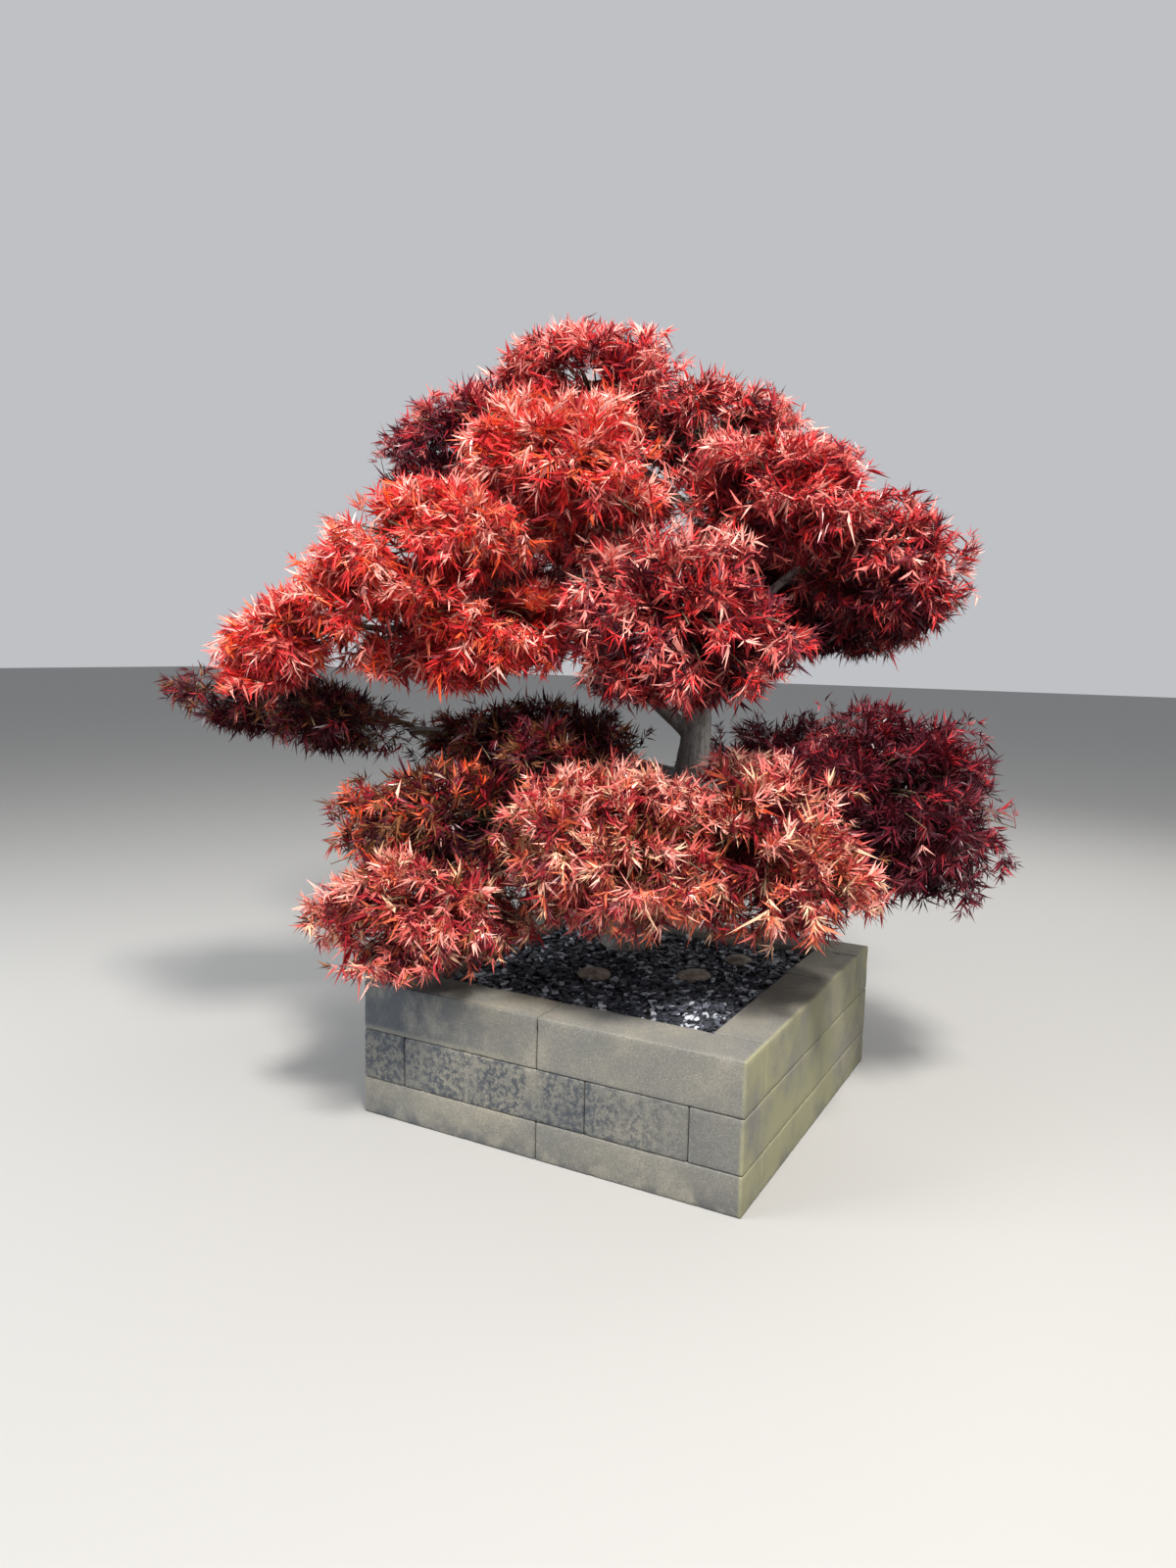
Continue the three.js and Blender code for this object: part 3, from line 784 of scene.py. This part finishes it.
growth = {
    "seed": 31,
    "lowest": 0.424,  # just over the wall's top
    "highest": 2.49,
    "spaceMargin": 0.04,  # share of its half size that a mass keeps from the next one
    "stemRadii": (0.010, 0.006),
    "stemSides": 8,
    "stemRings": 12,
    "stemEnd": 0.97,
    "stemSpread": 0.009,
    "stemReach": 1.2,
    "stemArch": 0.08,
    "twigsPerArea": 300,
    "twigStarts": (0.3, 0.97),
    "twigScatter": 0.5,
    "twigRise": (0.95, -0.85),
    "riseStep": 0.7549,
    "twigReach": (0.60, 0.94),
    "twigTries": (1.0, 0.84, 0.70, 0.56, 0.42),
    "tipAim": (1, 0, 0),  # the first twig makes for its mass's far end
    "tipReach": 0.92,
    "twigArch": 0.03,
    "twigPoints": 7,
    "twigSides": 4,
    "twigRadii": (0.0045, 0.0016),
    "shootsPerArea": 7000,
    "shootSpread": (0.2, 1.0),
    "shootRim": 0.45,
    "shootLength": (0.12, 0.24),
    "shootShortest": 0.02,
    "shootArch": 0.10,
    "shootRadii": (0.0016, 0.0007),
    "outerCost": 0.2,  # metres that it costs a shoot to start further out than it ends
    "lobing": 3.0,
    "lobeDepth": 0.48,
    "lobeLevel": 0.4,
    "lobeSlope": 1.5,
    "layers": (5.0, 5.0, 14.0),
    "layerGap": -0.08,
    "layerStart": 0.3,
    "sparse": {"left_shade": 0.55, "middle_shade": 0.7, "left_low": 0.8},
    "pairs": (0.25, 0.5, 0.75, 1.0),
    "inside": 1.03,
    "leafInside": 1.05,
}
leafTones = {
    "maroon": (0.050, 0.009, 0.016),
    "garnet": (0.120, 0.011, 0.021),
    "crimson": (0.31, 0.018, 0.026),
    "scarlet": (0.64, 0.034, 0.034),
    "flame": (0.78, 0.095, 0.028),
    "coral": (0.70, 0.160, 0.080),
    "rose": (0.68, 0.150, 0.130),
    # painted highlights: the pale pink and cream leaves stand for glints of light on glossy
    # leaves
    "painted_highlight_pink": (0.82, 0.37, 0.31),
    "painted_highlight_cream": (0.82, 0.50, 0.33),
    "russet": (0.17, 0.065, 0.026),
}
# painted light and shade: masses facing the light take bright palettes and masses in shade take
# dark ones; within a mass the higher leaves take the sunlit end and the inner leaves the shaded
# end
palettes = {  # from a mass's shaded underside to its sunlit top
    "upper": ("garnet", "crimson", "scarlet", "rose", "crimson", "scarlet", "rose", "crimson",
              "painted_highlight_pink"),
    "bright": ("crimson", "scarlet", "rose", "scarlet", "flame", "painted_highlight_pink", "scarlet", "coral",
               "painted_highlight_pink"),
    "deep": ("maroon", "garnet", "crimson", "rose", "crimson", "scarlet", "garnet", "rose",
             "painted_highlight_pink"),
    "dusky": ("maroon", "maroon", "garnet", "garnet", "crimson", "crimson", "rose"),
    "dim": ("maroon", "maroon", "garnet", "garnet", "maroon", "crimson", "garnet"),
    "shade": ("maroon", "maroon", "garnet", "maroon", "russet", "garnet", "crimson", "russet"),
    "salmon": ("garnet", "russet", "crimson", "coral", "rose", "crimson", "painted_highlight_cream", "rose",
               "painted_highlight_pink", "painted_highlight_pink"),
    "russet": ("maroon", "russet", "garnet", "russet", "crimson", "russet", "flame", "coral"),
}
leaf = {
    "lobes": ((0, 1.0), (27, 0.94), (-25, 0.96), (58, 0.76), (-56, 0.78)),  # degrees and reach
    "widest": 0.42,
    "width": 0.052,
    "shortWidth": 0.55,  # share of that width for a lobe without length
    "fold": 0.045,
    "droop": (-0.1, 0.6),
    "closed": (0.3, 0.95),
    "stray": (0.28, 0.50),
    "shell": 0.82,
    "innerSize": 0.7,
    "innerShade": 0.9,
    "stalk": 0.50,
    "stalkWidth": 0.014,
    "length": (0.029, 0.055),
    "spread": (15, 75),
    "fromMass": (0, 0.5),  # how much a leaf points out of its mass, and out of the crown
    "fromTrunk": (0, 0.6),
    "trunkFlattening": (1, 1, 0.3),
    "hang": (-0.45, 0.75),
    "facing": 0.4,
    "faceUp": (0.3, 1.0),
    "tilt": 0.65,
    "gloss": 0.33,
    "sunRise": 0.25,  # place in the palette: its rise with height, its middle and its chance
    "sunMiddle": 0.57,
    "sprayChance": 0.13,
    "leafChance": 0.28,
    "mingle": 0.12,
    "pieceLimit": 17500,
}
wood = {
    "twig": (0.10, 0.062, 0.035),
    "twigTones": ((0.075, 0.048, 0.032), (0.13, 0.10, 0.05)),
    "twigClouds": ((60, 4), (0.35, 0.65)),
    "twigRoughness": 0.7,
    "shoot": (0.16, 0.022, 0.02),
    "shootRoughness": 0.6,
}


def massAxis(mass):
    t, d = math.radians(mass["turn"]), math.radians(mass["droop"])
    length = np.array([math.cos(t) * math.cos(d), math.sin(t) * math.cos(d), -math.sin(d)])
    width = np.array([-math.sin(t), math.cos(t), 0])
    return [length, width, np.cross(length, width)]


massMiddles = np.array([mass["middle"] for mass in masses])
massHalves = np.array([mass["half"] for mass in masses])
massAxes = np.array([massAxis(mass) for mass in masses])


def depthsIn(points):  # 0 at each mass's middle, 1 at its edge
    away = points[:, None, :] - massMiddles[None]
    along = np.einsum("nmk,mak->nma", away, massAxes) / massHalves[None]
    return np.linalg.norm(along, axis=2)


def inOwnSpace(index, points, edge):
    flat = points.reshape(-1, 3)
    depths = depthsIn(flat)
    own = depths[:, index].copy()
    depths[:, index] = np.inf
    apart = depths.min(axis=1) > own - growth["spaceMargin"]
    fits = (own <= edge) & (flat[:, 2] > growth["lowest"]) & apart
    return fits.reshape(points.shape[:-1])


def outwardAt(index, points):
    along = (points - massMiddles[index]) @ massAxes[index].T
    return unit((along / massHalves[index] ** 2) @ massAxes[index])


def stemCurve(index):
    carrier = masses[index]["limb"]
    limb = limbCurves[carrier]
    heading = tangentAt(limb, 1.0)
    start = pointAt(limb, 1.0) - heading * growth["stemRadii"][0]
    away = massMiddles[index] - start
    twins = [k for k, mass in enumerate(masses) if k != index and mass["limb"] == carrier]
    if twins:
        apart = massMiddles[index] - massMiddles[twins[0]]
        apart = apart - heading * (apart @ heading)
        start = start + unit(apart) * growth["stemSpread"]
    bend = start + away * 0.5 + upwards * np.linalg.norm(away) * growth["stemArch"]
    return bendCurve(start, bend, start + away * growth["stemReach"])


def turned(headings, angles):  # about the upright
    c, s = np.cos(angles), np.sin(angles)
    x, y = headings[..., 0], headings[..., 1]
    return np.stack([x * c - y * s, x * s + y * c, headings[..., 2]], -1)


def massArea(index):
    half = massHalves[index]
    return half[0] * math.sqrt(half[1] * half[2])


def growTwigs(index, rng):
    stem = stemCurve(index)
    count = round(growth["twigsPerArea"] * massArea(index))
    order = np.arange(count)
    turn = order * goldenTurn + rng.uniform(0, growth["twigScatter"], count)
    rise = mix(*growth["twigRise"], (order * growth["riseStep"]) % 1)
    level = np.sqrt(1 - rise ** 2)
    aim = np.stack([np.cos(turn) * level, np.sin(turn) * level, rise], -1)
    reach = rng.uniform(*growth["twigReach"], (count, 1))
    aim[0], reach[0] = growth["tipAim"], growth["tipReach"]
    starts = pointAt(stem, mix(*growth["twigStarts"], rng.uniform(0, 1, count)))
    rings = growth["twigPoints"]
    shares = np.linspace(0, 1, rings)[None, :, None]
    paths = np.zeros((count, rings, 3))
    keep = np.zeros(count, bool)
    for share in growth["twigTries"]:  # a twig that leaves its mass's space is tried shorter
        away = (aim * massHalves[index] * reach * share) @ massAxes[index]
        tips = massMiddles[index] + away
        bends = mix(starts, tips, 0.5) + upwards * growth["twigArch"]
        tried = bezier(starts[:, None], bends[:, None], tips[:, None], shares)
        outer = tried[:, rings // 2:]
        fits = inOwnSpace(index, outer, growth["inside"]).all(axis=1) & ~keep
        paths[fits] = tried[fits]
        keep |= fits
    return stem, paths[keep]


def shootEnds(index, rng):  # spots all through the mass, under a lobed rim and in layers
    amount = growth["shootsPerArea"] * growth["sparse"].get(masses[index]["name"], 1)
    count = round(amount * massArea(index))
    aim = unit(rng.normal(size=(count, 3)))
    shift = Vector((index, 0, 0))
    uneven = np.array([noise.noise(Vector(way) * growth["lobing"] + shift) for way in aim])
    cut = (growth["lobeLevel"] - growth["lobeSlope"] * uneven).clip(0, 1)
    rim = 1 - growth["lobeDepth"] * cut
    reach = rng.uniform(*growth["shootSpread"], count) ** growth["shootRim"] * rim
    ends = massMiddles[index] + (aim * massHalves[index] * reach[:, None]) @ massAxes[index]
    layers = np.array([noise.noise(Vector(spot)) for spot in ends * growth["layers"]])
    full = (layers > growth["layerGap"]) | (reach < growth["layerStart"])
    return ends[inOwnSpace(index, ends, 1) & full]


def growShoots(index, paths, rng):  # each runs from the nearest twig to its spot
    ends = shootEnds(index, rng)
    places = paths[:, 1:].reshape(-1, 3)
    away = np.linalg.norm(ends[:, None] - places[None], axis=2)
    outer = depthsIn(places)[:, index][None] > depthsIn(ends)[:, index][:, None]
    starts = places[np.argmin(away + outer * growth["outerCost"], axis=1)]
    gap = ends - starts
    length = np.linalg.norm(gap, axis=1, keepdims=True)
    longest = rng.uniform(*growth["shootLength"], (len(ends), 1))
    ends = starts + gap * np.minimum(1, longest / np.maximum(length, 1e-6))
    length = np.minimum(length, longest)
    bends = mix(starts, ends, 0.5) + upwards * length * growth["shootArch"]
    return np.stack([starts, bends, ends], axis=1)[length[:, 0] > growth["shootShortest"]]


def growLeaves(index, shoots, rng):  # in pairs along each shoot
    pairs = np.array(growth["pairs"])
    shape = (len(shoots), len(pairs), 2)
    one = (*shape, 1)
    s = pairs[None, :, None]
    a, b, c = (shoots[:, None, k] for k in range(3))
    roots = np.repeat(bezier(a, b, c, s)[:, :, None], 2, axis=2)
    heading = unit(2 * (1 - s) * (b - a) + 2 * s * (c - b))
    heading = np.repeat(heading[:, :, None], 2, axis=2)
    turns = np.radians(rng.uniform(*leaf["spread"], shape)) * np.array([1, -1])
    normal = outwardAt(index, roots)
    fromTrunk = roots - pointAt(limbCurves["trunk"], 0.5)
    outward = unit(fromTrunk * leaf["trunkFlattening"])
    along = turned(heading, turns) + normal * rng.uniform(*leaf["fromMass"], one)
    along = along + outward * rng.uniform(*leaf["fromTrunk"], one)
    along = unit(along - upwards * rng.uniform(*leaf["hang"], one))
    face = normal * leaf["facing"] + upwards * rng.uniform(*leaf["faceUp"], one)
    face = unit(face + rng.normal(0, leaf["tilt"], along.shape))
    depth = depthsIn(roots.reshape(-1, 3))[:, index].reshape(shape)
    inner = ((leaf["shell"] - depth) / leaf["shell"]).clip(0, 1)
    larger = leaf["innerSize"] * inner[..., None]
    size = rng.uniform(*leaf["length"], one) * (1 + larger)
    tips = roots + along * size * (1 + leaf["stalk"])
    keep = inOwnSpace(index, tips, growth["leafInside"]) & (tips[..., 2] < growth["highest"])
    height = ((roots - massMiddles[index]) @ massAxes[index][2]) / massHalves[index][2]
    chance = rng.normal(0, leaf["sprayChance"], (len(shoots), 1, 1))
    chance = chance + rng.normal(0, leaf["leafChance"], shape)
    sun = height * leaf["sunRise"] + leaf["sunMiddle"] + chance - leaf["innerShade"] * inner
    droop = rng.uniform(*leaf["droop"], one)
    closed = rng.uniform(*leaf["closed"], one) + larger
    stray = rng.normal(0, 1, (*shape, len(leaf["lobes"]), 2)) * leaf["stray"]
    return [part[keep] for part in (roots, along, face, size, droop, closed, stray, sun)]


stalkPoints = 3
lobePoints = 3


def leafUnit():  # along, across, lift; the stalk starts at 0 and the lobes fan out at its end
    stalk, thin, fold = leaf["stalk"], leaf["stalkWidth"], leaf["fold"]
    points, triangles = [(0, -thin, 0), (0, thin, 0), (stalk, 0, 0)], [(0, 2, 1)]
    for degrees, reach in leaf["lobes"]:
        turn = math.radians(degrees)
        c, s = math.cos(turn), math.sin(turn)
        far = leaf["widest"] * reach
        wide = leaf["width"] * mix(leaf["shortWidth"], 1, reach)
        left = len(points)
        for x, y, lift in ((far, wide, -fold), (reach, 0, 0), (far, -wide, -fold)):
            points.append((stalk + c * x - s * y, s * x + c * y, lift))
        triangles += [(2, left + 1, left), (2, left + 2, left + 1)]
    return np.array(points), np.array(triangles)


def leafArrays(roots, along, face, size, droop, closed, stray):
    shape, triangles = leafUnit()
    across = unit(np.cross(face, along))
    normal = np.cross(along, across)
    sag = (shape[:, 0] - leaf["stalk"]).clip(0) ** 2 + shape[:, 1] ** 2
    lift = shape[None, :, 2] - droop * sag[None]
    side = shape[None, :, 1] * closed
    aside = np.repeat(stray, lobePoints, axis=1) * sag[None, stalkPoints:, None]
    side[:, stalkPoints:] += aside[..., 0]  # each lobe curves off in its own way
    lift[:, stalkPoints:] += aside[..., 1]
    points = shape[None, :, :1] * along[:, None]
    points = points + side[..., None] * across[:, None] + lift[..., None] * normal[:, None]
    points = roots[:, None] + size[:, None] * points
    faces = triangles[None] + (np.arange(len(roots)) * len(shape))[:, None, None]
    return points.reshape(-1, 3), faces.reshape(-1, 3)


def tubeArrays(paths, radii, sides=3, steep=0.9):  # paths is curves by points by 3
    n, k = paths.shape[:2]
    tangents = unit(np.gradient(paths, axis=1))
    guide = np.where(np.abs(tangents[..., 2:]) > steep, np.array([1.0, 0, 0]), upwards)
    a = unit(np.cross(guide, tangents))
    b = np.cross(tangents, a)
    angles = (np.arange(sides) * 2 * math.pi / sides)[:, None]
    wide = np.linspace(radii[0], radii[1], k)[None, :, None, None]
    ring = np.cos(angles) * a[:, :, None] + np.sin(angles) * b[:, :, None]
    points = paths[:, :, None] + ring * wide
    faces = []
    for row in range(k - 1):
        p, q = row * sides, (row + 1) * sides
        for s in range(sides):
            t = (s + 1) % sides
            faces += [(p + s, p + t, q + t), (p + s, q + t, q + s)]
    last = (k - 1) * sides
    for s in range(1, sides - 1):
        faces += [(0, s + 1, s), (last, last + s, last + s + 1)]
    triangles = np.array(faces)[None] + (np.arange(n) * k * sides)[:, None, None]
    return points.reshape(-1, 3), triangles.reshape(-1, 3)


def joinArrays(parts):
    points, triangles, start = [], [], 0
    for p, t in parts:
        points.append(p)
        triangles.append(t + start)
        start += len(p)
    return np.concatenate(points), np.concatenate(triangles)


def growMass(index):
    rng = np.random.default_rng(growth["seed"] + index)
    stem, twigs = growTwigs(index, rng)
    shoots = growShoots(index, twigs, rng)
    *grown, sun = growLeaves(index, shoots, rng)
    nearness = depthsIn(grown[0]) + rng.normal(0, leaf["mingle"], (len(sun), len(masses)))
    nearest = np.argmin(nearness, axis=1)  # a leaf takes the palette of a mass close by
    stemPath = pointAt(stem, np.linspace(0, growth["stemEnd"], growth["stemRings"]))[None]
    woody = [
        tubeArrays(stemPath, growth["stemRadii"], growth["stemSides"]),
        tubeArrays(twigs, growth["twigRadii"], growth["twigSides"]),
    ]
    return woody, tubeArrays(shoots, growth["shootRadii"]), grown, sun, nearest


def addWood(woody, slim):
    twigPaint = Paint("young_wood", wood["twig"], wood["twigRoughness"])
    tint = twigPaint.clouds(*wood["twigClouds"])
    twigPaint.color(twigPaint.blend(tint, *wood["twigTones"]))
    shootPaint = Paint("red_shoots", wood["shoot"], wood["shootRoughness"])
    nodes = ["foliage_" + mass["name"] for mass in masses]
    twigMesh = meshFromArrays("twigs", *joinArrays(woody), smooth=True)
    addPiece("twigs", twigMesh, twigPaint.material, nodes)
    shootMesh = meshFromArrays("shoots", *joinArrays(slim), smooth=True)
    addPiece("shoots", shootMesh, shootPaint.material)


def addLeaves(leaves):
    total = 0
    for tone, parts in leaves.items():
        gathered = [np.concatenate(part) for part in zip(*parts)]
        count = len(gathered[0])
        total += count
        paint = Paint(f"{tone}_leaf", leafTones[tone], leaf["gloss"])
        pieces = math.ceil(count / leaf["pieceLimit"])
        for number, chosen in enumerate(np.array_split(np.arange(count), pieces)):
            piece = f"leaves_{tone}_{number + 1}" if pieces > 1 else f"leaves_{tone}"
            mesh = meshFromArrays(piece, *leafArrays(*[part[chosen] for part in gathered]))
            addPiece(piece, mesh, paint.material)
    print("leaves:", total)


def buildFoliage():
    woody, slim, leaves = [], [], {tone: [] for tone in leafTones}
    kinds = np.array([mass["palette"] for mass in masses])
    for index in range(len(masses)):
        tubes, shoots, grown, sun, nearest = growMass(index)
        woody += tubes
        slim.append(shoots)
        for kind, tones in palettes.items():
            pick = (sun * len(tones)).clip(0, len(tones) - 1).astype(int)
            for step, tone in enumerate(tones):
                chosen = (pick == step) & (kinds[nearest] == kind)
                leaves[tone].append([part[chosen] for part in grown])
    addWood(woody, slim)
    addLeaves(leaves)


buildFoliage()


# Studio: a pale floor, soft light and the camera

studio = {
    "floor": 40,
    "floorDrop": 0.0006,
    "floorTone": (0.31, 0.308, 0.302),
    "floorRoughness": 0.9,
    "sky": (0.84, 0.86, 0.90),
    "skyStrength": 0.62,
    "lights": {  # place, side of the lamp, watts, colour
        "key": ((2.6, -2.9, 6.0), 1.2, 900, (1.0, 0.96, 0.90)),
        "fill": ((-4.0, -4.0, 2.8), 3.0, 330, (0.94, 0.97, 1.0)),
        "back": ((1.5, 4.5, 4.6), 3.0, 200, (1.0, 0.98, 0.95)),
    },
    "aim": (-0.1, 0.1, 1.2),
}
view = {
    "place": (1.4175, -2.9608, 1.4063),
    "right": (0.87841, 0.47745, 0.02087),
    "up": (-0.08022, 0.10426, 0.99131),
    "forward": (-0.47112, 0.87245, -0.12988),
    "focal": 1080,
    "imageHeight": 1600,
    "sensor": 36,
}


def buildStudio():
    bm = bmesh.new()
    bmesh.ops.create_grid(bm, x_segments=1, y_segments=1, size=studio["floor"])
    bmesh.ops.translate(bm, vec=(0, 0, -studio["floorDrop"]), verts=bm.verts)
    floor = bpy.data.objects.new("studio_floor", meshFromBmesh("studio_floor", bm, False))
    bpy.context.scene.collection.objects.link(floor)
    paint = Paint("pale_floor", studio["floorTone"], studio["floorRoughness"])
    floor.data.materials.append(paint.material)
    for name, (place, size, watts, color) in studio["lights"].items():
        lamp = bpy.data.lights.new(name, "AREA")
        lamp.size, lamp.energy, lamp.color = size, watts, color
        holder = bpy.data.objects.new(name, lamp)
        bpy.context.scene.collection.objects.link(holder)
        holder.location = place
        toward = Vector(studio["aim"]) - Vector(place)
        holder.rotation_euler = toward.to_track_quat("-Z", "Y").to_euler()
    world = bpy.data.worlds.new("studio_sky")
    world.use_nodes = True
    background = world.node_tree.nodes["Background"]
    background.inputs["Color"].default_value = (*studio["sky"], 1)
    background.inputs["Strength"].default_value = studio["skyStrength"]
    bpy.context.scene.world = world


def buildCamera():
    lens = bpy.data.cameras.new("photo_view")
    lens.sensor_width = view["sensor"]
    lens.lens = view["focal"] / view["imageHeight"] * view["sensor"]
    camera = bpy.data.objects.new("photo_view", lens)
    bpy.context.scene.collection.objects.link(camera)
    turn = Matrix((view["right"], view["up"], [-k for k in view["forward"]])).transposed()
    camera.matrix_world = Matrix.Translation(view["place"]) @ turn.to_4x4()
    bpy.context.scene.camera = camera
    bpy.context.scene.view_settings.view_transform = "Standard"


buildStudio()
buildCamera()
print("studio ready")
